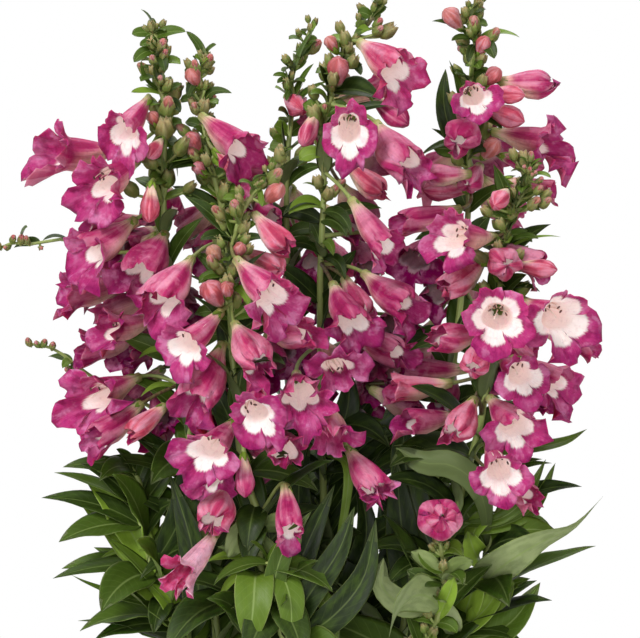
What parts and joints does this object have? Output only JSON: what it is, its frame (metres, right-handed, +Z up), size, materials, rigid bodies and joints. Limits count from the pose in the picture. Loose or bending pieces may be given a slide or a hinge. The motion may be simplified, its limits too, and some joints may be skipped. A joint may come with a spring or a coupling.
{
  "type": "beardtongue in vase",
  "caption": "Bunch of cut beardtongue stems with pink trumpet flowers, buds and green leaves, standing in a plain tapered white vase.",
  "frame": {"origin": "centre of the vase's flat base, on the surface that it stands on", "axes": "+Z up along the vase's axis, the bunch's front faces -Y, +X to the right as seen from the front"},
  "size_m": [0.2986, 0.2208, 0.5321],
  "materials": {
    "vase_glaze": "gloss",
    "stem_green": "satin",
    "petal_pink": "satin",
    "leaf_green": "satin"
  },
  "bodies": {
    "root": {"vase": "vase_glaze", "stem_back_left": "stem_green", "stem_back_right": "stem_green", "stem_centre": "stem_green", "stem_front": "stem_green", "stem_left": "stem_green", "stem_right": "stem_green", "stem_short": "stem_green", "stem_thin": "stem_green", "cyme_back_left_1": "petal_pink", "cyme_back_left_2": "petal_pink", "cyme_back_right_1": "petal_pink", "cyme_back_right_2": "petal_pink", "cyme_back_right_3": "petal_pink", "cyme_behind_1": "petal_pink", "cyme_behind_2": "petal_pink", "cyme_behind_3": "petal_pink", "cyme_behind_4": "petal_pink", "cyme_behind_5": "petal_pink", "cyme_behind_6": "petal_pink", "cyme_centre_1": "petal_pink", "cyme_centre_2": "petal_pink", "cyme_centre_3": "petal_pink", "cyme_centre_4": "petal_pink", "cyme_centre_5": "petal_pink", "cyme_centre_6": "petal_pink", "cyme_front_1": "petal_pink", "cyme_front_2": "petal_pink", "cyme_front_3": "petal_pink", "cyme_front_4": "petal_pink", "cyme_front_5": "petal_pink", "cyme_front_6": "petal_pink", "cyme_left_1": "petal_pink", "cyme_left_2": "petal_pink", "cyme_left_3": "petal_pink", "cyme_left_4": "petal_pink", "cyme_left_5": "petal_pink", "cyme_right_1": "petal_pink", "cyme_right_2": "petal_pink", "cyme_right_3": "petal_pink", "cyme_right_4": "petal_pink", "cyme_right_5": "petal_pink", "cyme_right_6": "petal_pink", "cyme_short_1": "petal_pink", "leafy_back": "leaf_green", "leafy_front": "leaf_green", "leafy_left": "leaf_green", "leafy_right": "leaf_green", "side_shoot_lower": "leaf_green", "side_shoot_upper": "leaf_green", "leaf_back_right_top": "leaf_green", "leaf_centre_low": "leaf_green", "leaf_centre_mid": "leaf_green", "leaf_centre_top": "leaf_green", "leaf_front_low": "leaf_green", "leaf_left_low": "leaf_green", "leaf_left_top": "leaf_green", "leaf_right_low": "leaf_green", "leaf_short_low": "leaf_green", "leaf_thin_mid": "leaf_green"}
  },
  "joints": []
}
